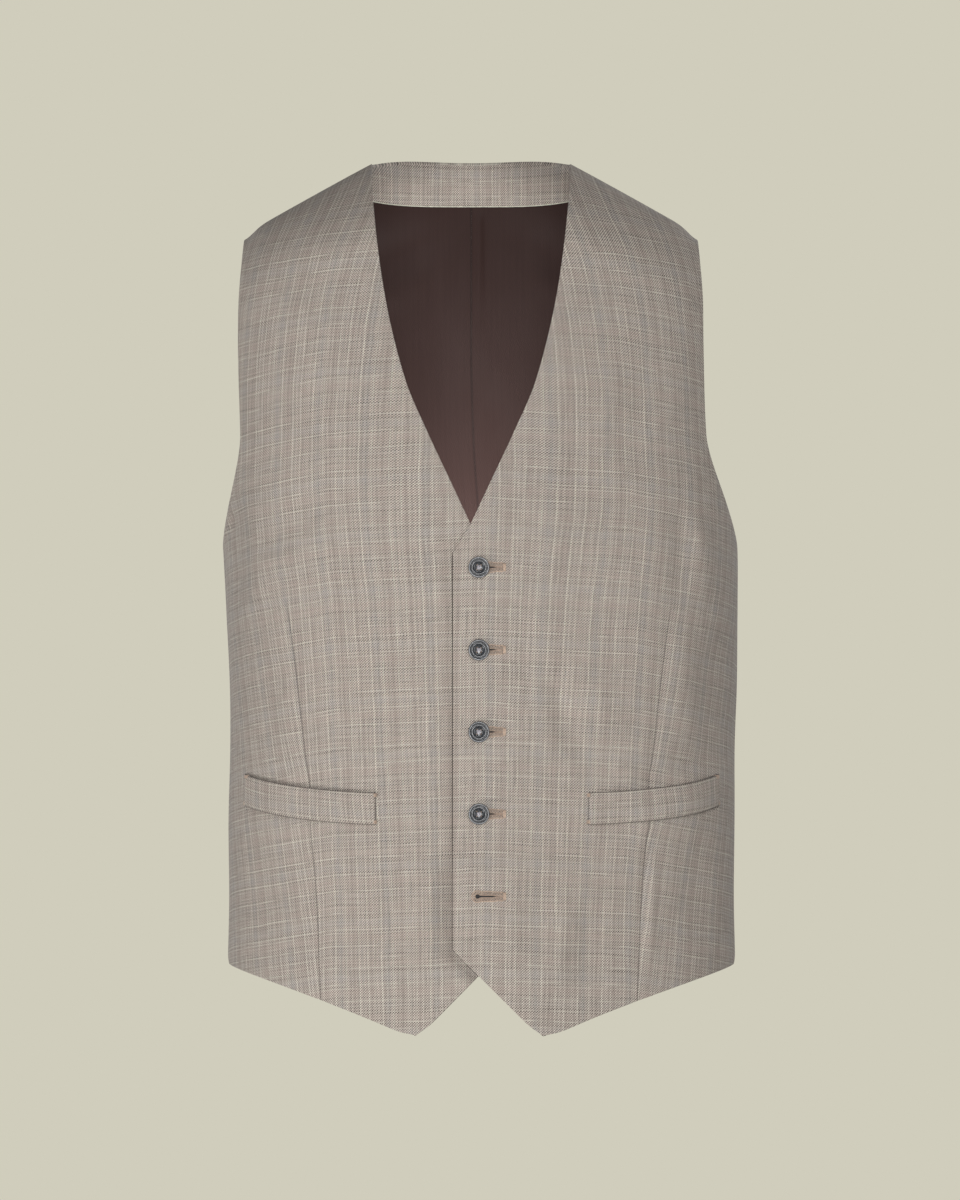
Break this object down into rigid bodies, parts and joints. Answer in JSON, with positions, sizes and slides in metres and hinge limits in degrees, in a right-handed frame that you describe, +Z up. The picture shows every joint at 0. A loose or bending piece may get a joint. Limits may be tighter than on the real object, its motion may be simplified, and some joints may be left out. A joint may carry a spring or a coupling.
{
  "type": "suit waistcoat",
  "caption": "Single-breasted suit waistcoat in checked cloth, filled out as worn, with V neck, welt pockets, horn-look buttons, pointed hem and a plain lining-cloth back.",
  "frame": {"origin": "midway between the two shoulder seams, at half their height, where the wearer's shoulders hold the waistcoat", "axes": "+X to the viewer's right (the wearer's left), +Y from the front to the back, +Z up along the body"},
  "size_m": [0.3702, 0.2531, 0.6266],
  "materials": {
    "check_cloth": "matte worsted",
    "lining_cloth": "soft satin",
    "horn": "polished horn look"
  },
  "bodies": {
    "root": {"front_over": "check_cloth", "front_under": "check_cloth", "neck_band": "check_cloth", "welt_left": "check_cloth", "welt_right": "check_cloth", "back_left": "lining_cloth", "back_right": "lining_cloth", "back_lining_left": "lining_cloth", "back_lining_right": "lining_cloth", "button_1": "horn", "button_2": "horn", "button_3": "horn", "button_4": "horn", "button_5": "horn"}
  },
  "joints": []
}
